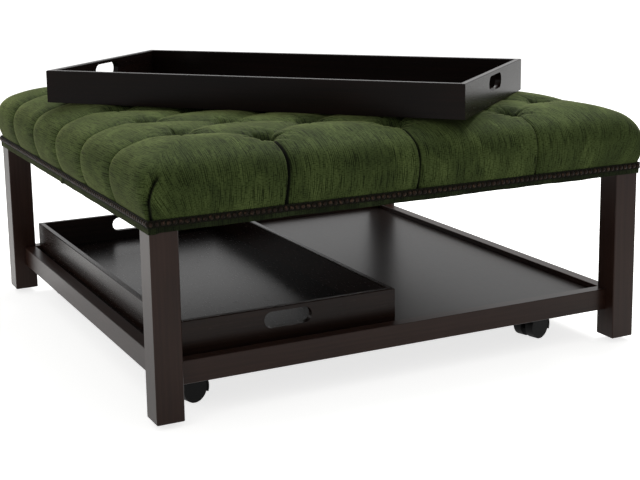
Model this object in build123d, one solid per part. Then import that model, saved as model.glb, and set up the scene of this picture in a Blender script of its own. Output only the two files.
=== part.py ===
from build123d import *
import math
import os

# Ottoman coffee table on casters, with a tufted top, a shelf and two lift-off trays.
# Millimetres. The origin is on the floor under the middle of the table: +X right, +Y back, +Z up.

# Base frame
frame_width = 1000.0  # over the outer faces of the legs, both ways
leg_side = 50.0
leg_height = 333.0
leg_edge = 1.5
ground_clearance = 10.0  # under the legs: the casters carry the table
rail_height = 41.5
rail_thickness = 25.0
rail_edge = 1.0
tenon_length = 18.0
tenon_thickness = 10.0
tenon_shoulder = 4.0
joint_gap = 0.1

# Shelf
shelf_thickness = 12.0
shelf_recess = 11.0  # the panel lies this far below the top of its rails
shelf_gap = 0.5
cleat_width = 18.0
cleat_height = 15.0
caster_block_side = 110.0
caster_block_thickness = 20.0

# Box under the upholstery
side_padding = 10.0  # from the outer faces of the legs in to the box
top_rail_height = 60.0
top_rail_thickness = 20.0
corner_block_leg = 90.0
corner_block_height = 30.0
bearer_width = 40.0
bearer_height = 20.0
bearer_count = 2
deck_thickness = 12.0
foam_thickness = 20.0
dust_cover_thickness = 1.0
dust_cover_inset = 5.0

# Upholstery
cover_overhang = 2.0  # the cover's foot stands this far outside the legs
cover_bulge = 11.0
cover_corner_radius = 30.0
cover_height = 118.5  # from the foot of the cover to its crown
bulge_rise = 53.0  # widest point above the foot of the cover
crown_radius = 227.0  # of the slope round the top, which starts at the run's end
crown_run = 122.4  # from the widest point in to the level part of the top
band_height = 15.0
band_reveal = 5.0  # fabric that shows below the braid
braid_height = 14.0
braid_thickness = 1.5
nail_radius = 5.0
nail_crest_radius = 2.5
nail_height = 3.0
tuft_pitch_x_share = 0.255  # of the cover's width at its foot
tuft_pitch_y_share = 0.166
tuft_columns = 3  # half pitches from the middle to the last column
tuft_rows = 5
tuft_sides = 6
tuft_depth = 33.5
tuft_mouth_radius = 59.0
tuft_mouth_rise = 3.5  # the mouth is cut from this far above the crown
tuft_throat_radius = 26.0
tuft_throat_depth = 14.0
button_radius = 9.0
button_height = 5.0
button_gap = 0.8
fold_depth = 16.0
fold_half_width = 42.0
fold_shoulder_depth = 6.0
fold_shoulder_half_width = 13.0
pleat_depth = 8.0
pleat_half_width = 16.0
pleat_start_depth = 14.0
pleat_flare = 2.0  # the sides of a pleat's cutter stand this far outside the cover
pleat_crown_facets = 2
pleat_shoulder_facets = 3
pleat_lower_facets = 2

# Casters
caster_height = 63.5  # floor to the top of the plate
caster_setback = 130.0  # from the outer faces of the legs to the kingpin, both ways
caster_trail = 30.0
caster_heading_degrees = 16.0
wheel_radius = 25.0
wheel_width = 18.0
wheel_spacing = 30.0  # between the middles of the two wheels
wheel_side_gap = 0.6
axle_radius = 3.0
axle_end_wall = 3.0  # wheel material outside the end of the axle
axle_end_gap = 0.4
axle_running_gap = 0.05
hood_gap = 1.5
hood_thickness = 3.0
hood_overlap = 0.5
hood_front_degrees = -22.0
hood_rear_degrees = 152.0
web_width = 24.0
web_drop = 9.0  # the web reaches this far below the axle
web_overlap = 0.2
stem_radius = 10.5
stem_sides = 8
stem_height = 20.5
kingpin_radius = 4.0
kingpin_length = 16.0  # inside the stem
kingpin_end_gap = 0.5
swivel_gap = 0.3
plate_side = 44.0
plate_thickness = 2.5
plate_corner = 6.0

# Trays
tray_width = 438.0
tray_height = 65.0
tray_wall = 12.0
tray_edge = 1.5
tray_base_thickness = 6.0
tray_base_rise = 2.0
tray_slot_length = 94.0
tray_slot_height = 30.0
tray_slot_rise = 42.5  # middle of the slot above the underside
upper_tray_x = -27.0
upper_tray_y = -29.0
upper_tray_degrees = -48.2
upper_tray_gap = 0.3
lower_tray_side_gap = 9.0
lower_tray_back_gap = 2.0
lower_tray_front_gap = 22.0

# How far a cutter runs past what it cuts
overrun = 5.0

# Levels above the floor
leg_top = ground_clearance + leg_height
panel_bottom = caster_height + caster_block_thickness
panel_top = panel_bottom + shelf_thickness
rail_top = panel_top + shelf_recess
rail_bottom = rail_top - rail_height
top_rail_top = leg_top + top_rail_height
deck_top = top_rail_top + deck_thickness
foam_top = deck_top + foam_thickness
cover_foot = leg_top + band_height
cover_crown = cover_foot + cover_height
bulge_level = cover_foot + bulge_rise
braid_bottom = leg_top + band_reveal
braid_top = braid_bottom + braid_height

# Half widths about the middle of the table
leg_outer = frame_width / 2
leg_inner = leg_outer - leg_side
tray_length = 2 * leg_inner - lower_tray_back_gap - lower_tray_front_gap
rail_middle = leg_inner + rail_thickness / 2
box_half = leg_outer - side_padding
box_inner = box_half - top_rail_thickness
tongue_side = box_inner - leg_inner - joint_gap
tongue_middle = leg_inner + tongue_side / 2
foot_half = leg_outer + cover_overhang
bulge_half = foot_half + cover_bulge
braid_half = foot_half + braid_thickness

quarter_turn = 90
side_names = ["front", "right", "back", "left"]
corner_signs = {"front_left": (-1, -1), "front_right": (1, -1), "back_right": (1, 1), "back_left": (-1, 1)}
stand_on = (Align.CENTER, Align.CENTER, Align.MIN)


def around(piece):
    """The same piece on each of the four sides, from the front round to the left."""
    return [Rot(0, 0, 90 * turn) * piece for turn in range(4)]


def at_corners(piece, inset):
    """The same piece at each corner, inset from the outer faces of the legs."""
    reach = leg_outer - inset
    return [Pos(sx * reach, sy * reach, 0) * piece for sx, sy in corner_signs.values()]


def mitred_strip(inner, outer, bottom, top):
    """One strip of a square frame, on the front side, with its ends cut at 45 degrees."""
    outline = Polyline((-outer, -outer), (outer, -outer), (inner, -inner), (-inner, -inner), close=True)
    return extrude(Pos(0, 0, bottom) * make_face(outline), top - bottom)


# Tenons of the front and back rails lie over those of the side rails inside the leg
rail_mid = (rail_bottom + rail_top) / 2
tenon_levels = {"high": (rail_mid + joint_gap, rail_top - tenon_shoulder),
                "low": (rail_bottom + tenon_shoulder, rail_mid - joint_gap)}


def leg(sx, sy):
    """A square post with eased edges, two mortises and a tongue that rises inside the box."""
    middle = leg_outer - leg_side / 2
    post = Box(leg_side, leg_side, leg_height, align=stand_on)
    post = chamfer(post.edges().filter_by(Axis.Z) + post.faces().sort_by(Axis.Z)[0].edges(), leg_edge)
    post = Pos(sx * middle, sy * middle, ground_clearance) * post
    depth = tenon_length + joint_gap
    wide = tenon_thickness + 2 * joint_gap
    reach = leg_inner + depth / 2
    for level, along_x in (("high", True), ("low", False)):
        low, high = tenon_levels[level]
        tall = high - low + 2 * joint_gap
        x, y = (reach, rail_middle) if along_x else (rail_middle, reach)
        size = (depth, wide) if along_x else (wide, depth)
        post -= Pos(sx * x, sy * y, low - joint_gap) * Box(*size, tall, align=stand_on)
    tongue = Box(tongue_side, tongue_side, top_rail_height - joint_gap, align=stand_on)
    return post + Pos(sx * tongue_middle, sy * tongue_middle, leg_top) * tongue


def shelf_rail(level):
    """A rail on the front side, with a stub tenon at each end."""
    rail = Box(2 * leg_inner, rail_thickness, rail_height, align=stand_on)
    rail = chamfer(rail.edges().filter_by(Axis.X), rail_edge)
    rail = Pos(0, -rail_middle, rail_bottom) * rail
    low, high = tenon_levels[level]
    tenon = Box(2 * (leg_inner + tenon_length), tenon_thickness, high - low, align=stand_on)
    return rail + Pos(0, -rail_middle, low) * tenon


def shelf_panel():
    side = 2 * (leg_inner - shelf_gap)
    return Pos(0, 0, panel_bottom) * Box(side, side, shelf_thickness, align=stand_on)


def shelf_cleats():
    """Four strips inside the rails that carry the panel."""
    return around(mitred_strip(leg_inner - cleat_width, leg_inner, panel_bottom - cleat_height, panel_bottom))


def caster_blocks():
    block = Box(caster_block_side, caster_block_side, caster_block_thickness, align=stand_on)
    block = chamfer(block.faces().sort_by(Axis.Z)[0].edges(), rail_edge)
    return at_corners(Pos(0, 0, caster_height) * block, caster_setback)


def top_corner_blocks():
    """Triangular blocks inside the corners of the box, each notched over the tongue of its leg."""
    inward = box_inner - corner_block_leg
    notch = leg_inner - joint_gap
    outline = Polyline((notch, notch), (notch, box_inner), (inward, box_inner), (box_inner, inward),
                       (box_inner, notch), close=True)
    return around(extrude(Pos(0, 0, leg_top) * make_face(outline), corner_block_height))


def deck_bearers():
    step = 2 * box_inner / (bearer_count + 1)
    bearer = Box(bearer_width, 2 * box_inner, bearer_height, align=stand_on)
    bottom = top_rail_top - bearer_height
    return [Pos(step * (n + 1) - box_inner, 0, bottom) * bearer for n in range(bearer_count)]


def slab(bottom, top):
    return Pos(0, 0, bottom) * Box(2 * box_half, 2 * box_half, top - bottom, align=stand_on)


def dust_cover():
    """A thin sheet under the box, notched round the tops of the legs."""
    side = 2 * (box_half - dust_cover_inset)
    sheet = Box(side, side, dust_cover_thickness, align=stand_on)
    notch = Box(leg_side + 2 * joint_gap, leg_side + 2 * joint_gap, dust_cover_thickness, align=stand_on)
    for piece in at_corners(notch, leg_side / 2):
        sheet -= piece
    return Pos(0, 0, leg_top - dust_cover_thickness) * sheet


def nail_strips():
    """Tapered strips along the middle of the braid, one for the row of nails on each side."""
    middle = (braid_bottom + braid_top) / 2
    crest = -braid_half - nail_height
    section = Polyline((-braid_half, middle - nail_radius), (crest, middle - nail_crest_radius),
                       (crest, middle + nail_crest_radius), (-braid_half, middle + nail_radius), close=True)
    return around(extrude(Plane.YZ * make_face(section), braid_half, both=True))


# Tufted cover: a top that slopes off into round shoulders, and sides that draw in to its foot
tuft_pitch_x = tuft_pitch_x_share * 2 * foot_half
tuft_pitch_y = tuft_pitch_y_share * 2 * foot_half
crown_drop = cover_crown - bulge_level
crown_middle = bulge_half - crown_run
crown_centre_level = cover_crown - crown_radius
crown_reach = crown_radius - crown_run
shoulder_radius = (crown_drop * (2 * crown_radius - crown_drop) - crown_run**2) / (2 * crown_reach)
shoulder_middle = bulge_half - shoulder_radius
knee_degrees = math.degrees(math.atan2(bulge_level - crown_centre_level, shoulder_middle - crown_middle))
draw_rise = bulge_level - braid_top
draw_radius = (cover_bulge**2 + draw_rise**2) / (2 * cover_bulge)
draw_middle = bulge_half - draw_radius


def cover_section():
    """The cover's upright section, square across one pair of sides."""
    foot, waist, bulge = (foot_half, cover_foot), (foot_half, braid_top), (bulge_half, bulge_level)
    shoulder = CenterArc((shoulder_middle, bulge_level), shoulder_radius, 0, knee_degrees)
    crown = CenterArc((crown_middle, crown_centre_level), crown_radius, knee_degrees,
                      quarter_turn - knee_degrees)
    right = [Line(foot, waist), TangentArc(bulge, waist, tangent=(0, -1)), shoulder, crown]
    left = [mirror(edge, Plane.YZ) for edge in right]
    level_end = (crown_middle, cover_crown)
    across = [Line((-foot_half, cover_foot), foot), Line((-crown_middle, cover_crown), level_end)]
    return make_face(right + left + across)


def fold_cutter(start, end):
    """A straight fold between two tufts, with a steep foot and rounded-off shoulders."""
    along = Vector(end[0] - start[0], end[1] - start[1], 0)
    half = [(0, -fold_depth), (fold_shoulder_half_width, -fold_shoulder_depth), (fold_half_width, 0),
            (fold_half_width, fold_depth)]
    points = half + [(-x, z) for x, z in reversed(half[1:])]
    direction = along.normalized()
    across = Vector(0, 0, 1).cross(direction)
    plane = Plane(origin=(*start, cover_crown), x_dir=across, z_dir=direction)
    return extrude(plane * make_face(Polyline(*points, close=True)), along.length, dir=direction)


def rim(radius, level):
    """Corners round a tuft, with a flat towards each of its four folds."""
    angles = [2 * math.pi * n / tuft_sides for n in range(tuft_sides)]
    return [(radius * math.cos(a), radius * math.sin(a), level) for a in angles]


def tuft_cutter():
    """One tuft: a wide mouth over a steep throat, with flat sides between the folds."""
    throat = rim(tuft_throat_radius, -tuft_throat_depth)
    mouth = ConvexPolyhedron(rim(tuft_mouth_radius, tuft_mouth_rise) + throat)
    return mouth + ConvexPolyhedron(throat + rim(button_radius + button_gap, -tuft_depth))


def facet_points(middle, radius, first_degrees, last_degrees, facets):
    """Points at even steps round an arc, without its first."""
    step = math.radians(last_degrees - first_degrees) / facets
    angles = [math.radians(first_degrees) + step * (n + 1) for n in range(facets)]
    return [(middle[0] + radius * math.cos(a), middle[1] + radius * math.sin(a)) for a in angles]


def pleat_line(start, inset, start_depth):
    """Points along a pleat, from its tuft over the shoulder and down the side to the braid."""
    first = math.degrees(math.acos(max(start - crown_middle, 0) / crown_radius))
    lowest = -math.degrees(math.asin(draw_rise / draw_radius))
    crown = facet_points((crown_middle, crown_centre_level), crown_radius - inset, first, knee_degrees,
                         pleat_crown_facets)
    shoulder = facet_points((shoulder_middle, bulge_level), shoulder_radius - inset, knee_degrees, 0,
                            pleat_shoulder_facets)
    drawn_in = facet_points((draw_middle, bulge_level), draw_radius - inset, 0, lowest, pleat_lower_facets)
    return [(start, cover_crown - start_depth), *crown, *shoulder, *drawn_in]


def pleat_cutter(start):
    """A pleat over the right edge in flat-sided lengths, deepest in the middle and nothing at its sides."""
    deepest = pleat_line(start, pleat_depth, pleat_start_depth)
    edge = pleat_line(start, -pleat_flare, -pleat_flare)
    sections = [[(x, 0, z), (u, -pleat_half_width, v), (u, pleat_half_width, v)]
                for (x, z), (u, v) in zip(deepest, edge)]
    return [ConvexPolyhedron(a + b) for a, b in zip(sections, sections[1:])]


tufts = [(column, row) for column in range(-tuft_columns, tuft_columns + 1)
         for row in range(-tuft_rows, tuft_rows + 1) if (column + row) % 2]


def tuft_place(column, row):
    return column * tuft_pitch_x / 2, row * tuft_pitch_y / 2


def fold_lines():
    """The first and last tuft of each diagonal fold."""
    reach = tuft_columns + tuft_rows
    for slope in (1, -1):
        for step in range(-reach, reach + 1):
            on_line = sorted(tuft for tuft in tufts if tuft[0] + slope * tuft[1] == step)
            if len(on_line) > 1:
                yield tuft_place(*on_line[0]), tuft_place(*on_line[-1])


def pleats():
    """One pleat from each border tuft to the nearest edge."""
    to_side = pleat_cutter(tuft_place(tuft_columns, 0)[0])
    to_front = pleat_cutter(tuft_place(0, tuft_rows)[1])
    for column, row in tufts:
        x, y = tuft_place(column, row)
        if abs(column) == tuft_columns:
            yield from [Pos(0, y, 0) * Rot(0, 0, 0 if column > 0 else 180) * piece for piece in to_side]
        if abs(row) == tuft_rows:
            yield from [Pos(x, 0, 0) * Rot(0, 0, 90 if row > 0 else -90) * piece for piece in to_front]


def tufted_cover():
    """The buttoned cushion: crowned shoulders, drawn-in sides, diagonal folds, tufts and edge pleats."""
    one_way = extrude(Plane.XZ * cover_section(), foot_half + cover_bulge, both=True)
    body = one_way & (Rot(0, 0, 90) * one_way)
    plan = RectangleRounded(2 * bulge_half, 2 * bulge_half, cover_corner_radius)
    body &= extrude(Pos(0, 0, cover_foot) * plan, cover_height)
    body -= slab(cover_foot - overrun, foam_top)
    body -= [fold_cutter(start, end) for start, end in fold_lines()]
    mouth = tuft_cutter()
    body -= [Pos(*tuft_place(*tuft), cover_crown) * mouth for tuft in tufts]
    body -= list(pleats())
    return body


def tuft_buttons():
    """Covered buttons at the foot of the tufts, faceted like them because they are buried."""
    button = ConvexPolyhedron(rim(button_radius, 0) + [(0, 0, button_height)])
    return [Pos(*tuft_place(*tuft), cover_crown - tuft_depth) * button for tuft in tufts]


# Caster, with its kingpin over the origin and its wheels trailing towards -X
axle_middle = (-caster_trail, wheel_radius)
web_half = (wheel_spacing - wheel_width) / 2 - wheel_side_gap
wheel_outer = (wheel_spacing + wheel_width) / 2
axle_half = wheel_outer - axle_end_wall - axle_end_gap
hood_inner = wheel_radius + hood_gap
hood_outer = hood_inner + hood_thickness
plate_bottom = caster_height - plate_thickness
stem_top = plate_bottom - swivel_gap
stem_bottom = stem_top - stem_height


def caster_wheel(side):
    """A wheel with a flat tread, blind-bored for the axle."""
    inner = (wheel_spacing - wheel_width) / 2
    bore = axle_radius + axle_running_gap
    bore_end = axle_half + axle_end_gap
    profile = Polyline((bore, inner), (wheel_radius, inner), (wheel_radius, wheel_outer), (0, wheel_outer),
                       (0, bore_end), (bore, bore_end), close=True)
    wheel = revolve(make_face(profile), Axis.Y)
    return Pos(axle_middle[0], 0, axle_middle[1]) * Rot(0, 0, 0 if side > 0 else 180) * wheel


def hood_section():
    """A curved fender over both wheels, seen from the side."""
    sweep = hood_rear_degrees - hood_front_degrees
    outer = CenterArc(axle_middle, hood_outer, hood_front_degrees, sweep)
    inner = CenterArc(axle_middle, hood_inner, hood_front_degrees, sweep)
    return make_face([outer, inner, Line(outer @ 0, inner @ 0), Line(outer @ 1, inner @ 1)])


def caster_fork():
    """The moulded body: hood, web between the wheels and the stem that turns on the kingpin."""
    hood = extrude(Plane.XZ * hood_section(), wheel_outer + hood_overlap, both=True)
    web_rise = math.sqrt(hood_outer**2 - (web_width / 2)**2) - web_overlap
    web = Box(web_width, 2 * web_half, web_drop + web_rise, align=stand_on)
    web = Pos(axle_middle[0], 0, wheel_radius - web_drop) * web
    stem = extrude(Pos(0, 0, stem_bottom) * RegularPolygon(stem_radius, stem_sides), stem_height)
    body = hood + web + stem
    hub = Pos(axle_middle[0], 0, axle_middle[1]) * Rot(90, 0, 0)
    body -= hub * Cylinder(axle_radius + axle_running_gap, 2 * wheel_outer)
    depth = kingpin_length + kingpin_end_gap
    socket = Cylinder(kingpin_radius + axle_running_gap, depth, align=(Align.CENTER, Align.CENTER, Align.MAX))
    return body - Pos(0, 0, stem_top) * socket


def caster_axle():
    return Pos(axle_middle[0], 0, axle_middle[1]) * Rot(90, 0, 0) * Cylinder(axle_radius, 2 * axle_half)


def caster_plate():
    """A square plate with its corners cut off."""
    plate = Box(plate_side, plate_side, plate_thickness, align=stand_on)
    return Pos(0, 0, plate_bottom) * chamfer(plate.edges().filter_by(Axis.Z), plate_corner)


def caster_kingpin():
    """A plain pin, welded to the underside of the plate."""
    bottom = stem_top - kingpin_length
    return Pos(0, 0, bottom) * Cylinder(kingpin_radius, plate_bottom - bottom, align=stand_on)


# Trays, each standing on the origin with its length along X


def tray_base():
    size = (tray_length - 2 * tray_wall, tray_width - 2 * tray_wall, tray_base_thickness)
    return Pos(0, 0, tray_base_rise) * Box(*size, align=stand_on)


def tray_wall_piece(length, offset, slotted):
    """A mitred wall facing -Y, with its top edges eased and, if slotted, a hand hole."""
    half = length / 2
    outline = Polyline((-half, 0), (half, 0), (half - tray_wall, tray_wall), (tray_wall - half, tray_wall),
                       close=True)
    wall = extrude(make_face(outline), tray_height)
    wall = chamfer(wall.faces().sort_by(Axis.Z)[-1].edges().filter_by(Axis.X), tray_edge)
    if slotted:
        slot = Pos(0, tray_slot_rise) * SlotOverall(tray_slot_length, tray_slot_height)
        wall -= extrude(Plane.XZ * slot, -tray_wall)
    return Pos(0, -offset, 0) * wall


def tray_pieces():
    side = tray_wall_piece(tray_length, tray_width / 2, False)
    end = tray_wall_piece(tray_width, tray_length / 2, True)
    return {"base": tray_base(), "side_near": side, "side_far": Rot(0, 0, 180) * side,
            "end_right": Rot(0, 0, 90) * end, "end_left": Rot(0, 0, -90) * end}


def upper_tray_place():
    return Pos(upper_tray_x, upper_tray_y, cover_crown + upper_tray_gap) * Rot(0, 0, upper_tray_degrees)


def lower_tray_place():
    x = -leg_inner + lower_tray_side_gap + tray_width / 2
    y = leg_inner - lower_tray_back_gap - tray_length / 2
    return Pos(x, y, panel_top) * Rot(0, 0, 90)


def all_parts():
    parts = {}
    for name, (sx, sy) in corner_signs.items():
        parts["leg_" + name] = leg(sx, sy)
    for turn, name in enumerate(side_names):
        parts["shelf_rail_" + name] = Rot(0, 0, 90 * turn) * shelf_rail("low" if turn % 2 else "high")
        strip = mitred_strip(box_inner, box_half, leg_top, top_rail_top)
        parts["top_rail_" + name] = Rot(0, 0, 90 * turn) * strip
    parts["shelf_panel"] = shelf_panel()
    parts["shelf_cleats"] = shelf_cleats()
    parts["caster_blocks"] = caster_blocks()
    parts["top_corner_blocks"] = top_corner_blocks()
    parts["deck_bearers"] = deck_bearers()
    parts["deck_board"] = slab(top_rail_top, deck_top)
    parts["foam_slab"] = slab(deck_top, foam_top)
    parts["dust_cover"] = dust_cover()
    parts["tufted_cover"] = tufted_cover()
    parts["tuft_buttons"] = tuft_buttons()
    parts["lower_band"] = around(mitred_strip(box_half, foot_half, leg_top, cover_foot))
    parts["braid"] = around(mitred_strip(foot_half, braid_half, braid_bottom, braid_top))
    parts["nail_trim"] = nail_strips()
    turned = Rot(0, 0, caster_heading_degrees)
    parts["caster_plates"] = at_corners(turned * caster_plate(), caster_setback)
    parts["caster_kingpins"] = at_corners(caster_kingpin(), caster_setback)
    moving = {"fork": caster_fork(), "axle": caster_axle(), "wheel_near": caster_wheel(-1),
              "wheel_far": caster_wheel(1)}
    for piece, solid in moving.items():
        for name, placed in zip(corner_signs, at_corners(turned * solid, caster_setback)):
            parts["caster_" + name + "_" + piece] = placed
    for tray, place in (("upper_tray", upper_tray_place()), ("lower_tray", lower_tray_place())):
        for piece, solid in tray_pieces().items():
            parts[tray + "_" + piece] = place * solid
    return parts


os.makedirs("parts", exist_ok=True)
for node, shape in all_parts().items():
    export_step(Compound(children=shape) if isinstance(shape, list) else shape, "parts/" + node + ".step")
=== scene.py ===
import bpy
import bmesh
import math
import numpy as np
from mathutils import Matrix, Vector, noise


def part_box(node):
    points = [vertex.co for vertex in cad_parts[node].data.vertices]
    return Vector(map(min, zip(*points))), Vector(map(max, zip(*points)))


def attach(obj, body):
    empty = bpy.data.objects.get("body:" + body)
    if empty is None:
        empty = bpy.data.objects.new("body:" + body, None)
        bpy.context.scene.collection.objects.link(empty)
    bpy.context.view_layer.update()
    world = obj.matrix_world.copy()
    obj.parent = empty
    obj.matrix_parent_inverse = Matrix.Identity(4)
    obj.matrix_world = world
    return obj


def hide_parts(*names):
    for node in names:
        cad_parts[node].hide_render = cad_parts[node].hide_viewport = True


# Tufted ottoman coffee table: green cushion with nailhead trim, espresso frame, casters and two trays
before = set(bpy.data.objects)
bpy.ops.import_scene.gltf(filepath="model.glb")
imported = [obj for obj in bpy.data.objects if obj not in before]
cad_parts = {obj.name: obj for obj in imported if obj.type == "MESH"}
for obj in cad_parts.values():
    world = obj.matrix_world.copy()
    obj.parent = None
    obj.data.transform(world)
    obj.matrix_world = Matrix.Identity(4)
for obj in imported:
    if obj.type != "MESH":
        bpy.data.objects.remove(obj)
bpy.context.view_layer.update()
mm = 0.001
x, y, z = 0, 1, 2
corners = ("front_left", "front_right", "back_right", "back_left")


def say(stage):
    print("stage:", stage)


# Colours are written as sRGB hex, and the shaders want linear values
def colour(hexText):
    channels = [int(hexText[i:i + 2], 16) / 255 for i in (1, 3, 5)]
    linear = [c / 12.92 if c <= 0.04045 else ((c + 0.055) / 1.055) ** 2.4 for c in channels]
    return (*linear, 1.0)


# One node with its settings, values and links: a socket as a value is linked, anything else is set, and
# stops are a ramp's places with their hex colours
def addNode(tree, kind, values=None, stops=(), **settings):
    node = tree.nodes.new("ShaderNode" + kind)
    for name, value in settings.items():
        setattr(node, name, value)
    for socket, value in (values or {}).items():
        if isinstance(value, bpy.types.NodeSocket):
            tree.links.new(value, node.inputs[socket])
        else:
            node.inputs[socket].default_value = value
    if stops:
        elements = node.color_ramp.elements
        while len(elements) < len(stops):
            elements.new(0.5)
        for element, (place, hexText) in zip(elements, stops):
            element.position = place
            element.color = colour(hexText)
    return node


def newMaterial(name, values):
    material = bpy.data.materials.new(name)
    material.use_nodes = True
    tree = material.node_tree
    shader = tree.nodes["Principled BSDF"]
    for socket, value in values.items():
        shader.inputs[socket].default_value = value
    return material, tree, shader


# Object coordinates, turned about the upright and then stretched
def objectPoint(tree, scale=(1, 1, 1), turn=0.0):
    place = addNode(tree, "TexCoord").outputs["Object"]
    if turn:
        turned = {"Vector": place, "Rotation": (0, 0, math.radians(turn))}
        place = addNode(tree, "Mapping", turned).outputs["Vector"]
    return addNode(tree, "Mapping", {"Vector": place, "Scale": scale}).outputs["Vector"]


# How far a pattern is stretched for streaks of this width and length
def streakScale(along, widthMm, lengthMm):
    stretch = [1 / (widthMm * mm)] * 3
    stretch[along] = 1 / (lengthMm * mm)
    return stretch


# Stain and finish of the frame; streaks and pores are a few times coarser than maple's own, so that they show
stain = {
    "dark": "#211410", "mid": "#2a1a14", "light": "#31201a", "stops": (0.32, 0.5, 0.68),
    "gloss": 0.3, "glossSpread": (-0.03, 0.05), "level": 0.15, "relief": 0.04, "reliefMm": 0.3, "turn": 0.0,
    "streakMm": 2.6, "streakLengthMm": 110.0, "streakNoise": 0.6, "streakShare": 0.6,
    "cloudMm": 120.0, "cloudShare": 0.4, "poresPerStreak": 4, "poreNoise": 1.6,
}


# Espresso stain on maple under satin lacquer: close straight grain, a soft sheen that picks up the room
def espressoMaple(name, along, **changes):
    s = {**stain, **changes}
    material, tree, shader = newMaterial(name, {"IOR": 1.5, "Roughness": s["gloss"],
                                                "Specular IOR Level": s["level"]})
    stretch = streakScale(along, s["streakMm"], s["streakLengthMm"])
    streaks = addNode(tree, "TexNoise", {"Vector": objectPoint(tree, stretch, s["turn"]),
                                         "Scale": s["streakNoise"], "Detail": 4.0, "Roughness": 0.6,
                                         "Distortion": 0.15})
    clouds = addNode(tree, "TexNoise", {"Vector": objectPoint(tree), "Scale": 1 / (s["cloudMm"] * mm),
                                        "Detail": 2.0})
    blend = addNode(tree, "Math", {0: streaks.outputs["Fac"], 1: s["streakShare"]}, operation="MULTIPLY")
    blend = addNode(tree, "Math", {0: clouds.outputs["Fac"], 1: s["cloudShare"], 2: blend.outputs[0]},
                    operation="MULTIPLY_ADD")
    tone = addNode(tree, "ValToRGB", {"Fac": blend.outputs[0]},
                   stops=list(zip(s["stops"], (s["dark"], s["mid"], s["light"]))))
    tree.links.new(tone.outputs["Color"], shader.inputs["Base Color"])
    pores = list(stretch)
    pores[along] *= s["poresPerStreak"]
    fine = addNode(tree, "TexNoise", {"Vector": objectPoint(tree, pores, s["turn"]), "Scale": s["poreNoise"],
                                      "Detail": 3.0})
    least, most = s["glossSpread"]
    rough = addNode(tree, "MapRange", {"Value": fine.outputs["Fac"], "To Min": s["gloss"] + least,
                                       "To Max": s["gloss"] + most})
    tree.links.new(rough.outputs["Result"], shader.inputs["Roughness"])
    bump = addNode(tree, "Bump", {"Height": fine.outputs["Fac"], "Strength": s["relief"],
                                  "Distance": s["reliefMm"] * mm})
    tree.links.new(bump.outputs["Normal"], shader.inputs["Normal"])
    return material


pine = {"lineMm": 6.0, "lineLengthMm": 250.0, "lineNoise": 0.7,
        "stops": [(0.3, "#a98352"), (0.55, "#c9a877"), (0.7, "#d8bc90")]}


# Planed pine inside the box, pale with faint lines, seen only from below
def planedPine(name, along):
    material, tree, shader = newMaterial(name, {"Roughness": 0.6, "IOR": 1.5})
    stretch = streakScale(along, pine["lineMm"], pine["lineLengthMm"])
    lines = addNode(tree, "TexNoise", {"Vector": objectPoint(tree, stretch), "Scale": pine["lineNoise"],
                                       "Detail": 3.0})
    tone = addNode(tree, "ValToRGB", {"Fac": lines.outputs["Fac"]}, stops=pine["stops"])
    tree.links.new(tone.outputs["Color"], shader.inputs["Base Color"])
    return material


# Thread spacings and tones of the cushion's cloth. Real threads are 0.5 to 1.5 mm thick: the slubs, ribs
# and wefts are drawn 2 to 3 times coarser, so that they show.
chenille = {
    "slubWidthMm": 1.4, "slubLengthMm": 42.0, "ribMm": 3.6, "weftWidthMm": 1.5, "weftLengthMm": 6.0,
    "ribShare": -0.12, "slubFrom": 0.42, "slubTo": 0.32, "weftFrom": 0.48, "weftTo": 0.36,
    "brushedMm": 60.0, "brushedLongMm": 95.0, "brushedStops": (0.34, 0.5, 0.66),
    "shade": "#374222", "body": "#414d28", "light": "#505d33", "slub": "#7b806a", "speckle": "#a3a792",
    # The last colour on the next line is the near-black painted shade for the folds, tufts and valleys
    # The three band tones are the cloth's own tones darkened, as painted shade under the braid
    "bandShadedDark": "#161b0d", "bandShadedMid": "#202714", "bandShadedLight": "#2e3720", "fold": "#080a05",
    "sheen": "#ccd48c", "relief": 0.18, "reliefMm": 0.8,
}
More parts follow.
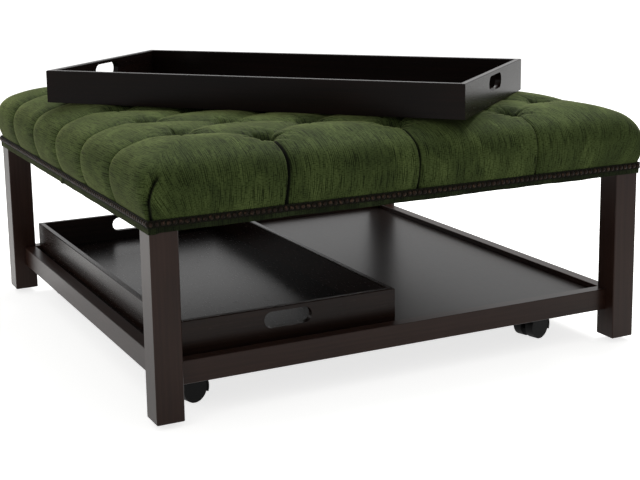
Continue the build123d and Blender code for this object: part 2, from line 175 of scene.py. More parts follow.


# Slubby cotton chenille, woven with thick and thin warp threads: thin dark streaks one way, a pile that
# brushes lighter and darker, a dusty sheen where it is seen on edge, and painted shade deep in the folds
def slubChenille(name, onCloth=True, tones=("shade", "body", "light")):
    c = chenille
    material, tree, shader = newMaterial(name, {"Roughness": 0.9, "IOR": 1.45, "Specular IOR Level": 0.12,
                                                "Sheen Weight": 0.5, "Sheen Roughness": 0.25,
                                                "Sheen Tint": colour(c["sheen"])})
    cloth = addNode(tree, "UVMap", uv_map="cloth").outputs["UV"] if onCloth else objectPoint(tree)

    def stretched(widthMm, lengthMm, highMm=1000.0):
        scale = (1 / (widthMm * mm), 1 / (lengthMm * mm), 1 / (highMm * mm))
        return addNode(tree, "Mapping", {"Vector": cloth, "Scale": scale}).outputs["Vector"]

    slubs = addNode(tree, "TexNoise", {"Vector": stretched(c["slubWidthMm"], c["slubLengthMm"]), "Scale": 1.0,
                                       "Detail": 2.0, "Roughness": 0.5})
    # A wave texture's period is 0.314 of its unit
    ribs = addNode(tree, "TexWave", {"Vector": cloth, "Scale": 0.314 / (c["ribMm"] * mm), "Distortion": 1.6,
                                     "Detail": 1.0, "Detail Scale": 0.35})
    warp = addNode(tree, "Math", {0: ribs.outputs["Fac"], 1: c["ribShare"], 2: slubs.outputs["Fac"]},
                   operation="MULTIPLY_ADD")
    threads = addNode(tree, "TexNoise", {"Vector": stretched(c["weftLengthMm"], c["weftWidthMm"]),
                                         "Scale": 1.0, "Detail": 1.0})
    brushway = stretched(c["brushedMm"], c["brushedLongMm"], c["brushedMm"])
    brushed = addNode(tree, "TexNoise", {"Vector": brushway, "Scale": 1.0, "Detail": 3.0, "Roughness": 0.6,
                                         "Distortion": 0.5})
    tone = addNode(tree, "ValToRGB", {"Fac": brushed.outputs["Fac"]},
                   stops=list(zip(c["brushedStops"], [c[t] for t in tones])))
    streak = addNode(tree, "MapRange", {"Value": warp.outputs[0], "From Min": c["slubFrom"],
                                        "From Max": c["slubTo"]})
    lined = addNode(tree, "Mix", {0: streak.outputs["Result"], 6: tone.outputs["Color"], 7: colour(c["slub"])},
                    data_type="RGBA", blend_type="MULTIPLY")
    speck = addNode(tree, "MapRange", {"Value": threads.outputs["Fac"], "From Min": c["weftFrom"],
                                       "From Max": c["weftTo"]})
    specked = addNode(tree, "Mix", {0: speck.outputs["Result"], 6: lined.outputs[2], 7: colour(c["speckle"])},
                      data_type="RGBA", blend_type="MULTIPLY")
    # Painted shade: the colour goes towards near-black as far as the per-vertex shade attribute says
    folds = addNode(tree, "Attribute", attribute_name="fold")
    folded = addNode(tree, "Mix", {0: folds.outputs["Fac"], 6: specked.outputs[2], 7: colour(c["fold"])},
                     data_type="RGBA")
    tree.links.new(folded.outputs[2], shader.inputs["Base Color"])
    height = addNode(tree, "Math", {0: warp.outputs[0], 1: threads.outputs["Fac"]}, operation="ADD")
    bump = addNode(tree, "Bump", {"Height": height.outputs[0], "Strength": c["relief"],
                                  "Distance": c["reliefMm"] * mm})
    tree.links.new(bump.outputs["Normal"], shader.inputs["Normal"])
    return material


# One fine pattern, a noise or round cells, gives a small part its tones, and its relief and uneven gloss
# where these are asked for
def finePart(name, values, sizeMm, stops, cells=False, detail=2.0, relief=0.0, reliefMm=0.3, roughFromTo=None):
    material, tree, shader = newMaterial(name, values)
    place = {"Vector": objectPoint(tree), "Scale": 1 / (sizeMm * mm)}
    if cells:
        pattern = addNode(tree, "TexVoronoi", place).outputs["Distance"]
    else:
        pattern = addNode(tree, "TexNoise", {**place, "Detail": detail}).outputs["Fac"]
    tone = addNode(tree, "ValToRGB", {"Fac": pattern}, stops=stops)
    tree.links.new(tone.outputs["Color"], shader.inputs["Base Color"])
    if relief:
        bump = addNode(tree, "Bump", {"Height": pattern, "Strength": relief, "Distance": reliefMm * mm})
        tree.links.new(bump.outputs["Normal"], shader.inputs["Normal"])
    if roughFromTo:
        least, most = roughFromTo
        rough = addNode(tree, "MapRange", {"Value": pattern, "To Min": least, "To Max": most})
        tree.links.new(rough.outputs["Result"], shader.inputs["Roughness"])
    return material


say("materials")
legMaple = espressoMaple("espressoMapleLegs", z)
railMapleX = espressoMaple("espressoMapleRailsX", x)
railMapleY = espressoMaple("espressoMapleRailsY", y, level=0.12)
panelMaple = espressoMaple("espressoMaplePanel", y, dark="#15100e", mid="#1a1310", light="#201814", level=0.13)
# The trays have more coats, darkest on the upper one and on both boards; the upper one's grain turns with it
lacquer = {"dark": "#0b0605", "mid": "#100907", "light": "#160c09", "gloss": 0.25, "level": 0.12,
           "relief": 0.012}
wallLacquer = {**lacquer, "dark": "#140c09", "mid": "#1e130f", "light": "#281b15"}
upperLacquer = {**lacquer, "turn": 48.2, "level": 0.08}
upperLong = espressoMaple("lacquerMapleUpperTrayLong", x, **upperLacquer)
trayMaple = {
    ("lower_tray", "base"): espressoMaple("lacquerMapleLowerTrayBoard", y, **lacquer),
    ("lower_tray", "side"): espressoMaple("lacquerMapleLowerTraySides", y, **wallLacquer),
    ("lower_tray", "end"): espressoMaple("lacquerMapleLowerTrayEnds", x, **wallLacquer),
    ("upper_tray", "base"): upperLong,
    ("upper_tray", "side"): upperLong,
    ("upper_tray", "end"): espressoMaple("lacquerMapleUpperTrayEnds", y, **upperLacquer),
}
pineX, pineY = planedPine("planedPineX", x), planedPine("planedPineY", y)
chenilleCloth = slubChenille("slubChenille")
# The band's copy of the cloth, darker all over as painted shade under the braid's overhang
bandClothShaded = slubChenille("slubChenilleBandShaded", tones=("bandShadedDark", "bandShadedMid", "bandShadedLight"))
buttonCloth = slubChenille("slubChenilleButtons", onCloth=False)
# Viscose gimp braid: near-black olive, knotted all over
braidCloth = finePart("gimpBraid", {"Roughness": 0.85, "Specular IOR Level": 0.1}, 2.2,
                      [(0.35, "#080805"), (0.6, "#14130a"), (0.75, "#211f13")], relief=0.7, reliefMm=0.9)
# Oxidised bronze nailheads: dark domes with worn warm spots
nailBronze = finePart("oxidisedBronze", {"Metallic": 0.9, "Roughness": 0.5}, 4.0,
                      [(0.35, "#0d0906"), (0.55, "#1f160f"), (0.72, "#413125")], detail=3.0,
                      roughFromTo=(0.4, 0.6))
# Moulded nylon, black, glossier on the forks than on the wheels; the mould's grain is drawn coarser to show
nylon = {"IOR": 1.5, "Specular IOR Level": 0.12}
forkNylon = finePart("mouldedNylonForks", {**nylon, "Roughness": 0.4}, 1.5,
                     [(0.3, "#050505"), (0.8, "#0d0d0d")], relief=0.15)
wheelNylon = finePart("mouldedNylonWheels", {**nylon, "Roughness": 0.55}, 2.5,
                      [(0.3, "#060606"), (0.8, "#0d0d0d")], relief=0.15)
# Stove-enamelled steel plates, black and slightly orange-peeled
plateSteel = finePart("enamelledSteel", {"Roughness": 0.35, "IOR": 1.5}, 3.0,
                      [(0.3, "#0c0c0d"), (0.8, "#17171a")], relief=0.1)
# Turned bright steel for the axles, faintly mottled
axleSteel = finePart("turnedSteel", {"Metallic": 1.0, "Roughness": 0.3}, 1.0,
                     [(0.3, "#8d8f92"), (0.7, "#c3c5c8")])
# Spun-bonded polypropylene dust cloth, black with a pressed dot pattern
dustCloth = finePart("spunBondedCloth", {"Roughness": 0.85}, 3.0, [(0.1, "#0b0b0b"), (0.6, "#191919")],
                     cells=True, relief=0.4, reliefMm=0.5)
# Polyurethane foam, pale yellow; its open cells are drawn twice as large, so that they show
foam = finePart("openCellFoam", {"Roughness": 0.95}, 2.0, [(0.1, "#c9b67c"), (0.6, "#e6d7a4")], cells=True)


def dress(material, *nodes):
    for node in nodes:
        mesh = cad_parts[node].data
        mesh.materials.clear()
        mesh.materials.append(material)


for corner in corners:
    caster = "caster_" + corner
    dress(legMaple, "leg_" + corner)
    dress(forkNylon, caster + "_fork")
    dress(axleSteel, caster + "_axle")
    dress(wheelNylon, caster + "_wheel_near", caster + "_wheel_far")
dress(railMapleX, "shelf_rail_front", "shelf_rail_back")
dress(railMapleY, "shelf_rail_left", "shelf_rail_right", "shelf_cleats", "caster_blocks")
dress(panelMaple, "shelf_panel")
dress(pineX, "top_rail_front", "top_rail_back", "top_corner_blocks", "deck_bearers", "deck_board")
dress(pineY, "top_rail_left", "top_rail_right")
dress(foam, "foam_slab")
dress(dustCloth, "dust_cover")
dress(buttonCloth, "tuft_buttons")
dress(plateSteel, "caster_plates", "caster_kingpins")
for tray in ("upper_tray", "lower_tray"):
    for piece in ("base", "side_near", "side_far", "end_right", "end_left"):
        dress(trayMaple[tray, piece.split("_")[0]], tray + "_" + piece)


def addObject(name, data):
    thing = bpy.data.objects.new(name, data)
    bpy.context.scene.collection.objects.link(thing)
    return thing


# A finished bmesh becomes a piece that rides on a body and stands for its CAD nodes
def addPiece(name, bm, material, nodes, body="table", smooth=True):
    mesh = bpy.data.meshes.new(name)
    bm.to_mesh(mesh)
    bm.free()
    mesh.materials.append(material)
    if smooth:
        mesh.shade_smooth()
    piece = addObject(name, mesh)
    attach(piece, body)
    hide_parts(*nodes)
    return piece


say("cushion")
coverLow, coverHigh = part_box("tufted_cover")
upperTray = {"middle": (-0.027, -0.029), "turn": -48.2, "length": 0.876, "width": 0.438, "margin": 0.004}
cushion = {
    "steps": 460, "columns": 3, "rows": 5, "pitchX": 0.25602, "pitchY": 0.166664,
    "neighbour": 0.6, "seed": 7,  # how many pitches off a neighbouring tuft may be, and the gathers' seed
    # The grid is closer at the tufts and closest at the pleats: how much, and over what width
    "closerTufts": (1.6, 0.012), "closerPleats": (3.4, 0.007), "spacingSteps": 8001,
    # The section over one side, out from the level middle: a gentle slope, a shoulder, then the drawn-in side
    "slopeRadius": 0.227, "slopeRun": 0.1224, "bulgeRise": 0.053, "waistRise": 0.004, "drawIn": 0.011,
    "squareness": (3.0, 5.0, 9.5, 40.0),
    "slack": 0.0005, "overhang": 0.002,  # under the solid's top, and at most past its sides
    # Valleys from tuft to tuft, with a sharp crease along the bottom
    "valleyDepth": 0.0044, "valleyWidth": 0.022,
    "creaseDepth": 0.0062, "creaseWidth": 0.0042, "creaseReach": 0.050,
    # The throat and the dish at each tuft, and the short gathers that run out of it
    "throatDepth": 0.026, "throatRadius": 0.0140, "dishDepth": 0.0095, "dishRadius": 0.025,
    "deepest": 0.0335, "gathers": 7, "gatherWander": 0.3, "gatherFrom": 0.010, "gatherWidth": 0.0028,
    "gatherLength": (0.018, 0.040), "gatherDepth": (0.0018, 0.0044),
    # Wrinkles in the cloth round each tuft
    "crumple": 0.0034, "crumpleScale": (42.0, 58.0), "crumpleReach": 0.048,
    "crumpleSlice": 3.1, "crumpleSharp": 4.0, "crumpleCrest": 1.5,
    # Lapped pleats over the edges: the near lobe's lip, the far lobe under it, and the cloth slid beneath
    "lobeFall": 0.0025, "lobeWidth": 0.018, "lobeRound": 1.2, "lipRadius": 0.007, "lipFall": 0.004,
    "lipEdge": 0.0006, "underDepth": 0.0115, "steepShare": 0.68, "steepWidth": 0.0042,
    "slowShare": 0.32, "slowWidth": 0.016, "overlap": 0.0030, "slideAt": -0.0034, "slideWidth": 0.0030,
    "pleatFrom": -0.004, "pleatOpening": 0.010, "pleatReach": 0.02,
    "pleatWander": 0.0015, "pleatWaves": (31, 40), "frontOpen": (1.6, 1.2, 0.9), "sideOpen": 1.1,
    # The hooked tucks beside the corners
    "tuckDepth": 0.011, "tuckTop": 0.437, "tuckWidth": 1.4, "tuckFade": 0.008,
    "hookDrop": 0.045, "hookFrom": 0.80, "hookBend": 0.19, "hookCurve": 0.6,
    # All of it fades towards the braid, where the cloth is tacked down
    "tackedWidth": 0.014, "tackedShare": 0.35, "looseShare": 0.65,
    "unevenness": 0.0014, "unevenScale": 9.0, "pillowRise": 0.0010, "pressedSlope": 0.5,
    # How dark the painted shade is in each kind of fold, tuft and valley, and how far that reaches
    "dark": {
        "foldFrom": -0.0006, "foldTo": 0.0066, "foldSoft": 0.0009,
        "foldNarrows": ((0, 0.03, 0.12), (1.25, 1.0, 0.8)),
        "throat": 0.9, "throatRadius": 0.0085, "dish": 0.50, "dishRadius": 0.028,
        "gather": 0.85, "gatherWidth": 0.0026,
        "valley": 0.5, "valleyReach": 0.034, "valleyWidth": 0.0028,
        "broadValleyShade": 0.28, "broadValleyShadeWidth": 0.010, "broadValleyShadeReach": 0.060, "crumple": 0.55,
    },
}


# The tufts' places along both ways of the cloth, on a diamond grid
def tuftPlaces():
    c = cushion
    halfX, halfY = c["pitchX"] / 2, c["pitchY"] / 2
    columns, rows = range(-c["columns"], c["columns"] + 1), range(-c["rows"], c["rows"] + 1)
    tufts = [Vector((i * halfX, j * halfY, 0)) for i in columns for j in rows if (i + j) % 2]
    return [i * halfX for i in columns], [j * halfY for j in rows], tufts


# The section's arcs: each length along the cloth, with how far out and how high it lies
class Section:
    def __init__(self):
        c = cushion
        self.crown = coverHigh.z - c["slack"]
        self.bulge = coverLow.z + c["bulgeRise"]
        drop, big, run = self.crown - self.bulge, c["slopeRadius"], c["slopeRun"]
        self.small = (drop * (2 * big - drop) - run ** 2) / (2 * (big - run))
        self.flat = coverHigh.x - run
        self.knee = math.asin((run - self.small) / (big - self.small))
        self.kneeRun = big * self.knee
        self.bulgeRun = self.kneeRun + self.small * (math.pi / 2 - self.knee)
        self.waistRun = self.bulgeRun + self.bulge - coverLow.z - c["waistRise"]
        self.run = self.waistRun + c["waistRise"]
        self.half = self.flat + self.run

    def place(self, run):
        c = cushion
        big, small = c["slopeRadius"], self.small
        slope = np.clip(run / big, 0, self.knee)
        turn = self.knee + np.clip((run - self.kneeRun) / small, 0, math.pi / 2 - self.knee)
        out = big * np.sin(slope) + small * (np.sin(turn) - math.sin(self.knee))
        level = self.crown - big * (1 - np.cos(slope)) - small * (math.cos(self.knee) - np.cos(turn))
        drop = np.maximum(run - self.bulgeRun, 0)
        draw = np.clip(drop / (self.waistRun - self.bulgeRun), 0, 1)
        return out - c["drawIn"] * draw ** 2, level - drop


# 1 on the line, falling away to 0 on both sides of it
def ridge(distance, width, power=2):
    return np.exp(-(distance / width) ** power)


# 0 before the start, 1 after the length
def ramped(distance, length):
    return np.clip(distance / length, 0, 1)


# How far each place lies outside the tray on the cushion, which presses the pillows under it level
def toTray(place):
    t = upperTray
    turn = math.radians(t["turn"])
    fromX, fromY = place[:, 0] - t["middle"][0], place[:, 1] - t["middle"][1]
    along = np.abs(fromX * math.cos(turn) + fromY * math.sin(turn)) - t["length"] / 2
    across = np.abs(fromY * math.cos(turn) - fromX * math.sin(turn)) - t["width"] / 2
    return np.maximum(np.hypot(np.maximum(along, 0), np.maximum(across, 0)) - t["margin"], 0)


# Places along one way of the cloth, closer together by the tufts and closest beside the pleats
def gatheredSteps(tufts, pleats, half, count):
    fine = np.linspace(-half, half, cushion["spacingSteps"])
    density = 1
    for places, (amount, width) in ((tufts, cushion["closerTufts"]), (pleats, cushion["closerPleats"])):
        density = density + amount * sum(ridge(fine - p, width) for p in places)
    share = np.cumsum(density)
    share = (share - share[0]) / (share[-1] - share[0])
    return np.interp(np.linspace(0, 1, count), share, fine)


# How far each place on the cloth is from the line between two tufts
def toSegment(cloth, start, end):
    along = np.array((end - start)[:2])
    share = np.clip(((cloth - np.array(start[:2])) @ along) / (along @ along), 0, 1)
    away = cloth - np.array(start[:2]) - share[:, None] * along
    return np.hypot(away[:, 0], away[:, 1])


# A lapped fold seen across: the near lobe keeps a rounded lip, the far one comes up from under it
def lappedFold(offset, width=1.0):
    c = cushion
    over = c["lipFall"] * np.clip(1 + offset / (c["lipRadius"] * width), 0, 1) ** 3
    past = np.maximum(offset, 0) / width
    under = c["underDepth"] * (c["steepShare"] * ridge(past, c["steepWidth"])
                               + c["slowShare"] * np.exp(-past / c["slowWidth"]))
    sharp = ramped(offset + c["lipEdge"], 2 * c["lipEdge"])
    return over * (1 - sharp) + under * sharp


# How dark the painted shade is across a fold, 1 between its two edges
def foldShade(offset, width=1.0):
    d = cushion["dark"]
    return (ramped(offset - d["foldFrom"], d["foldSoft"])
            * ramped(d["foldTo"] * width - offset, 2 * d["foldSoft"]))


# The cloth's own flat square on a grid, which is the cushion's UV map as well
def clothGrid(bm, section, columns, rows, pleatsX, pleatsY):
    steps = cushion["steps"]
    bmesh.ops.create_grid(bm, x_segments=steps, y_segments=steps, size=1)
    even = np.array([vert.co[:2] for vert in bm.verts])
    spread = np.linspace(-1, 1, steps + 1)
    u = np.interp(even[:, 0], spread, gatheredSteps(columns, pleatsX, section.half, steps + 1))
    v = np.interp(even[:, 1], spread, gatheredSteps(rows, pleatsY, section.half, steps + 1))
    return np.stack([u, v], 1)


# The plain boxed form: rounded corners that grow squarer on the way down to the braid. a and b are how far
# each place lies past the level middle, the one way and the other.
def boxedForm(section, cloth):
    side = np.abs(cloth)
    a, b = np.maximum(side - section.flat, 0).T
    ring = np.maximum(a, b)
    out, level = section.place(ring)
    stops = (0, section.kneeRun, section.bulgeRun, section.waistRun)
    power = 1 / np.interp(ring, stops, [1 / s for s in cushion["squareness"]])
    angle = np.arctan2(a, b)
    sine, cosine = np.sin(angle), np.cos(angle)
    stretch = (sine ** power + cosine ** power) ** (-1 / power)
    inner = np.sign(cloth) * np.minimum(side, section.flat)
    outer = np.sign(cloth) * (out * stretch)[:, None] * np.stack([sine, cosine], 1)
    return np.column_stack([inner + outer, level]), ring, out, a, b


# Dimples and gathers at the tufts, painted shade in and round them, and how far each place is from a tuft
# and from a valley between two
def tuftMarks(cloth, tufts):
    c, d = cushion, cushion["dark"]
    toTuft, toValley = np.full(len(cloth), np.inf), np.full(len(cloth), np.inf)
    sunk, shade = np.zeros(len(cloth)), np.zeros(len(cloth))
    rng = np.random.default_rng(c["seed"])
    for n, tuft in enumerate(tufts):
        away = cloth - np.array(tuft[:2])
        distance = np.hypot(away[:, 0], away[:, 1])
        toTuft = np.minimum(toTuft, distance)
        sunk += c["throatDepth"] * ridge(distance, c["throatRadius"])
        sunk += c["dishDepth"] * ridge(distance, c["dishRadius"])
        turn = np.arctan2(away[:, 1], away[:, 0])
        for ray in range(c["gathers"]):
            aim = 2 * math.pi * (ray + rng.uniform(-c["gatherWander"], c["gatherWander"])) / c["gathers"]
            length, depth = rng.uniform(*c["gatherLength"]), rng.uniform(*c["gatherDepth"])
            aside = np.abs((turn - aim + math.pi) % (2 * math.pi) - math.pi) * distance
            reach = ridge(np.maximum(distance - c["gatherFrom"], 0), length)
            sunk += depth * reach * ridge(aside, c["gatherWidth"])
            # Painted shade along each gather, and then in each tuft's throat and dish
            dark = d["gather"] * depth / c["gatherDepth"][1] * reach ** 2
            shade = np.maximum(shade, dark * ridge(aside, d["gatherWidth"]))
        shade = np.maximum(shade, d["throat"] * ridge(distance, d["throatRadius"], 3))
        shade = np.maximum(shade, d["dish"] * ridge(distance, d["dishRadius"]))
        for other in tufts[n + 1:]:
            gap = other - tuft
            if abs(gap.x) < c["pitchX"] * c["neighbour"] and abs(gap.y) < c["pitchY"] * c["neighbour"]:
                toValley = np.minimum(toValley, toSegment(cloth, tuft, other))
    return toTuft, toValley, sunk, shade


# Pleats from the border tufts over the edge and down to the braid, with painted shade inside each fold
def pleatMarks(cloth, pleatsX, pleatsY, shade):
    c, d = cushion, cushion["dark"]
    lastX, lastY = c["columns"] * c["pitchX"] / 2, c["rows"] * c["pitchY"] / 2
    toPleat, lapped = np.full(len(cloth), np.inf), np.zeros(len(cloth))
    slide = np.zeros((len(cloth), 2))
    for axis, places, last in ((x, pleatsX, lastY), (y, pleatsY, lastX)):
        across, outwards = cloth[:, axis], cloth[:, 1 - axis]
        for n, where in enumerate(places):
            for way in (-1, 1):
                opened = c["frontOpen"][n] if axis == x and way == -1 else c["sideOpen"]
                beyond = way * outwards - last
                begun = ramped(beyond - c["pleatFrom"], c["pleatOpening"])
                wander = np.sin(beyond * c["pleatWaves"][0] + where * c["pleatWaves"][1])
                offset = across - where + c["pleatWander"] * wander
                away = np.hypot(offset, np.minimum(beyond, 0))
                toPleat = np.where(beyond > -c["pleatReach"], np.minimum(toPleat, away), toPleat)
                lapped = np.maximum(lapped, begun * lappedFold(offset, opened))
                # Painted shade inside the lapped fold
                narrowed = opened * np.interp(beyond, *d["foldNarrows"])
                shade = np.maximum(shade, begun * foldShade(offset, narrowed))
                slide[:, axis] += ridge(offset - c["slideAt"], c["slideWidth"]) * c["overlap"] * begun
    return toPleat, lapped, slide, shade


# A hooked tuck beside each corner, where the spare cloth is folded away, with painted shade inside it
def cornerTucks(cloth, level, out, a, b, shade):
    c = cushion
    frontBack = np.sign(cloth[:, 0]) * np.sign(cloth[:, 1]) > 0
    faceRun, sideRun = np.where(frontBack, b, a), np.where(frontBack, a, b)
    share = sideRun / np.maximum(faceRun, 1e-6)
    below = c["tuckTop"] - level
    bend = c["hookFrom"] + c["hookBend"] * ramped(below, c["hookDrop"]) ** c["hookCurve"]
    offset = (bend - share) * out
    onTuck = ramped(below, c["tuckFade"]) * ((a > 0) & (b > 0))
    tuck = onTuck * lappedFold(offset, c["tuckWidth"]) * c["tuckDepth"] / c["underDepth"]
    # Painted shade inside the tuck joins the rest
    return tuck, np.maximum(shade, onTuck * foldShade(offset, c["tuckWidth"]))


def makeCushion():
    c, d = cushion, cushion["dark"]
    section = Section()
    columns, rows, tufts = tuftPlaces()
    # One pleat from each tuft on the border
    pleatsX = [k * c["pitchX"] for k in (-1, 0, 1)]
    pleatsY = [k * c["pitchY"] for k in (-2, -1, 0, 1, 2)]
    bm = bmesh.new()
    cloth = clothGrid(bm, section, columns, rows, pleatsX, pleatsY)
    place, ring, out, a, b = boxedForm(section, cloth)
    for vert, co in zip(bm.verts, place):
        vert.co = co
    bm.normal_update()
    outward = np.array([vert.normal[:] for vert in bm.verts])

    toTuft, toValley, sunk, shade = tuftMarks(cloth, tufts)
    toPleat, lapped, slide, shade = pleatMarks(cloth, pleatsX, pleatsY, shade)
    tuck, shade = cornerTucks(cloth, place[:, 2], out, a, b, shade)
    sunk += c["valleyDepth"] / (1 + (toValley / c["valleyWidth"]) ** 2)
    sunk += c["creaseDepth"] * np.exp(-toTuft / c["creaseReach"]) * np.exp(-toValley / c["creaseWidth"])
    sunk = np.minimum(sunk, c["deepest"])

    # Wrinkles wander through the gathered cloth round each tuft
    along, across = c["crumpleScale"]
    wander = np.array([noise.noise((u * along, v * across, c["crumpleSlice"])) for u, v in cloth])
    wrinkle = np.maximum(1 - c["crumpleSharp"] * np.abs(wander), 0) ** c["crumpleCrest"]
    wrinkle *= ridge(toTuft, c["crumpleReach"])
    sunk += c["crumple"] * wrinkle

    # Painted shade along the valleys near the tufts, on the wrinkles, and in a broader band round the valleys
    valleyLine = np.exp(-toTuft / d["valleyReach"]) * ridge(toValley, d["valleyWidth"])
    broadValleyShadeLine = np.exp(-toTuft / d["broadValleyShadeReach"]) * ridge(toValley, d["broadValleyShadeWidth"])
    for amount, line in ((d["valley"], valleyLine), (d["crumple"], wrinkle), (d["broadValleyShade"], broadValleyShadeLine)):
        shade = np.maximum(shade, amount * line)

    lobe = c["lobeFall"] * ridge(toPleat, c["lobeWidth"], c["lobeRound"])
    uneven = c["unevenness"] * np.array([noise.noise(p * c["unevenScale"]) for p in place])
    tacked = ramped(section.run - ring, c["tackedWidth"])
    sunk += (lobe + lapped + tuck) * (c["tackedShare"] + c["looseShare"] * tacked)
    sunk += (uneven - c["pillowRise"]) * tacked
    place -= outward * sunk[:, None]
    place[:, :2] += slide * tacked[:, None]
    place[:, 2] = np.minimum(place[:, 2], section.crown + toTray(place) * c["pressedSlope"])
    sideMost = coverHigh.x + c["overhang"]
    place[:, :2] = np.clip(place[:, :2], -sideMost, sideMost)
    for vert, co in zip(bm.verts, place):
        vert.co = co

    clothMap = bm.loops.layers.uv.new("cloth")
    for face in bm.faces:
        for loop in face.loops:
            loop[clothMap].uv = cloth[loop.vert.index]
    # The painted shade is kept on each vertex, for the cloth's material
    fold = bm.verts.layers.float.new("fold")
    for vert, dark in zip(bm.verts, shade):
        vert[fold] = dark
    bm.normal_update()
    piece = addPiece("cushionCover", bm, chenilleCloth, nodes=["tufted_cover"])


makeCushion()


say("trim")
band = {
    "half": 0.502, "bottom": 0.340, "top": 0.360, "thick": 0.006, "cuts": 96,
    "wave": 0.0016, "waveScale": 14.0, "rippleScale": 40.0, "rippleShare": 0.5,
    "leftFrom": -0.49, "leftSag": 0.0022, "joinHalf": 0.007, "joinOut": 0.0016,
}
braid = {"half": 0.5035, "bottom": 0.349, "top": 0.3615, "thick": 0.0016}
nails = {"pitch": 0.0105, "radius": 0.0044, "height": 0.0028, "sides": 12, "rings": 8}


# A square ring of strip, standing on its edge
def squareRing(half, bottom, top, cuts=0):
    bm = bmesh.new()
    bmesh.ops.create_grid(bm, x_segments=1, y_segments=1, size=half)
    if cuts:
        bmesh.ops.subdivide_edges(bm, edges=bm.edges[:], cuts=cuts)
    bmesh.ops.translate(bm, verts=bm.verts, vec=(0, 0, bottom))
    walls = bmesh.ops.extrude_edge_only(bm, edges=bm.edges[:])
    raised = [g for g in walls["geom"] if isinstance(g, bmesh.types.BMVert)]
    bmesh.ops.translate(bm, verts=raised, vec=(0, 0, top - bottom))
    bmesh.ops.delete(bm, geom=[f for f in bm.faces if abs(f.normal.z) > 0.9], context="FACES_ONLY")
    bmesh.ops.recalc_face_normals(bm, faces=bm.faces)
    return bm


# The band's lower edge waves a little, sags on the left and has its overlapped join there
def makeBand():
    b = band
    bm = squareRing(b["half"], b["bottom"], b["top"], b["cuts"])
    for vert in bm.verts:
        onLeft = vert.co.x < b["leftFrom"]
        isLower = vert.co.z < (b["bottom"] + b["top"]) / 2
        atJoin = onLeft and abs(vert.co.y) < b["joinHalf"]
        if isLower:
            ripple = b["rippleShare"] * noise.noise(vert.co * b["rippleScale"])
            wave = b["wave"] * (noise.noise(vert.co * b["waveScale"]) + ripple)
            vert.co.z += wave
            vert.co.xy *= 1 + wave
            if onLeft:
                vert.co.z -= b["leftSag"]
            if atJoin:
                vert.co.z -= b["joinOut"]
        if atJoin:
            vert.co.x -= b["joinOut"]
    clothMap = bm.loops.layers.uv.new("cloth")
    for face in bm.faces:
        facesFront = abs(face.normal.y) > 0.5
        for loop in face.loops:
            co = loop.vert.co
            loop[clothMap].uv = (co.x, co.z) if facesFront else (co.z, co.y)
    bmesh.ops.solidify(bm, geom=bm.faces, thickness=b["thick"])
    addPiece("lowerBand", bm, bandClothShaded, nodes=["lower_band"], smooth=False)


def makeBraid():
    b = braid
    bm = squareRing(b["half"], b["bottom"], b["top"])
    bmesh.ops.solidify(bm, geom=bm.faces, thickness=b["thick"])
    addPiece("gimpBraidStrip", bm, braidCloth, nodes=["braid"], smooth=False)


# A flattened half sphere, set in a row along each side of the braid
def makeNails():
    n, half = nails, braid["half"]
    dome = bmesh.new()
    bmesh.ops.create_uvsphere(dome, u_segments=n["sides"], v_segments=n["rings"], radius=n["radius"])
    bmesh.ops.bisect_plane(dome, geom=dome.verts[:] + dome.edges[:] + dome.faces[:], plane_co=(0, 0, 0),
                           plane_no=(0, 0, 1), clear_inner=True)
    bmesh.ops.scale(dome, verts=dome.verts, vec=(1, 1, n["height"] / n["radius"]))
    head = bpy.data.meshes.new("nailhead")
    dome.to_mesh(head)
    dome.free()
    bm = bmesh.new()
    count = round(2 * half / n["pitch"])
    middle = (braid["bottom"] + braid["top"]) / 2
    facingOut = Matrix.Rotation(math.radians(90), 4, "X")
    for side in range(4):
        spin = Matrix.Rotation(math.radians(90 * side), 4, "Z")
        for nail in range(count):
            along = -half + (nail + 0.5) * 2 * half / count
            placed = head.copy()
            placed.transform(spin @ Matrix.Translation((along, -half, middle)) @ facingOut)
            bm.from_mesh(placed)
            bpy.data.meshes.remove(placed)
    bpy.data.meshes.remove(head)
    addPiece("nailheads", bm, nailBronze, nodes=["nail_trim"])


makeBand()
makeBraid()
makeNails()


say("studio")
studio = {
    "lensMm": 74.0, "shiftY": -0.10, "yaw": 26.482, "pitch": 11.066, "roll": -0.902,
    "place": (-1.1739, -2.4745, 0.8351),
    "floorSize": 40.0, "floor": "#ecece9", "floorWhite": 0.74, "sky": "#ffffff", "skyLight": 0.44,
    "lampAim": (0, 0, 0.3),
}
# Each lamp's place, width and watts: the main light comes from over the right back
lamps = {"overhead": ((1.1, 0.9, 2.9), 2.4, 112), "leftFill": ((-2.8, -1.2, 1.9), 1.8, 6)}


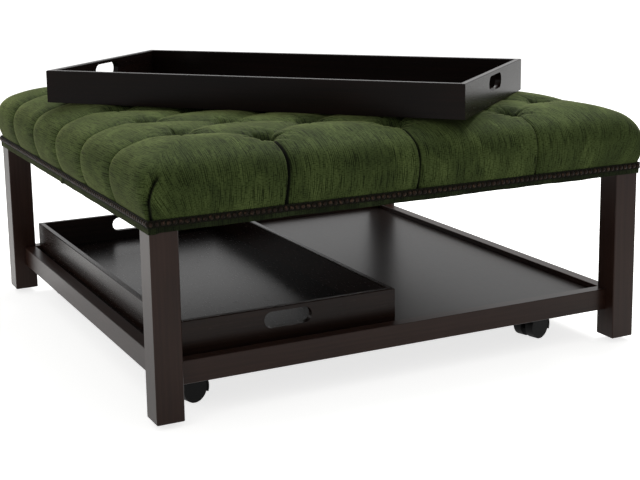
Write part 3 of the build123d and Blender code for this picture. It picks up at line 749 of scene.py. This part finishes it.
# 1 where the camera, a glossy or a transmission ray looks straight at the background
def seenWhite(tree):
    seen = addNode(tree, "LightPath")
    bright = addNode(tree, "Math", {0: seen.outputs["Is Camera Ray"], 1: seen.outputs["Is Glossy Ray"]},
                     operation="MAXIMUM")
    return addNode(tree, "Math", {0: bright.outputs[0], 1: seen.outputs["Is Transmission Ray"]},
                   operation="MAXIMUM").outputs[0]


# A wide pale floor that shows white to the camera and keeps the table's shadow
def makeFloor():
    s = studio
    bm = bmesh.new()
    bmesh.ops.create_grid(bm, x_segments=1, y_segments=1, size=s["floorSize"] / 2)
    mesh = bpy.data.meshes.new("studioFloor")
    bm.to_mesh(mesh)
    bm.free()
    material, tree, shader = newMaterial("paintedStudioFloor", {
        "Roughness": 0.9, "Specular IOR Level": 0.1, "Base Color": colour(s["floor"]),
        "Emission Color": colour(s["sky"])})
    glow = addNode(tree, "MapRange", {"Value": seenWhite(tree), "To Max": s["floorWhite"]})
    tree.links.new(glow.outputs["Result"], shader.inputs["Emission Strength"])
    mesh.materials.append(material)
    floor = addObject("studioFloor", mesh)


def makeLight():
    s = studio
    world = bpy.data.worlds.new("studioWorld")
    world.use_nodes = True
    tree = world.node_tree
    sky = tree.nodes["Background"].inputs
    strength = addNode(tree, "MapRange", {"Value": seenWhite(tree), "To Min": s["skyLight"], "To Max": 1.0})
    sky["Color"].default_value = colour(s["sky"])
    tree.links.new(strength.outputs["Result"], sky["Strength"])
    bpy.context.scene.world = world
    for name, (place, size, watts) in lamps.items():
        data = bpy.data.lights.new(name, "AREA")
        data.shape = "DISK"
        data.size = size
        data.energy = watts
        lamp = addObject(name, data)
        lamp.location = place
        lamp.rotation_euler = (Vector(s["lampAim"]) - Vector(place)).to_track_quat("-Z", "Y").to_euler()


def makeCamera():
    s = studio
    data = bpy.data.cameras.new("photoCamera")
    data.lens = s["lensMm"]
    data.shift_y = s["shiftY"]
    camera = addObject("photoCamera", data)
    aim = (Matrix.Rotation(-math.radians(s["yaw"]), 4, "Z")
           @ Matrix.Rotation(math.radians(90 - s["pitch"]), 4, "X")
           @ Matrix.Rotation(math.radians(s["roll"]), 4, "Z"))
    camera.matrix_world = Matrix.Translation(s["place"]) @ aim
    bpy.context.scene.camera = camera


makeFloor()
makeLight()
makeCamera()
bpy.context.scene.view_settings.view_transform = "Standard"

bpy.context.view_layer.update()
say("done")
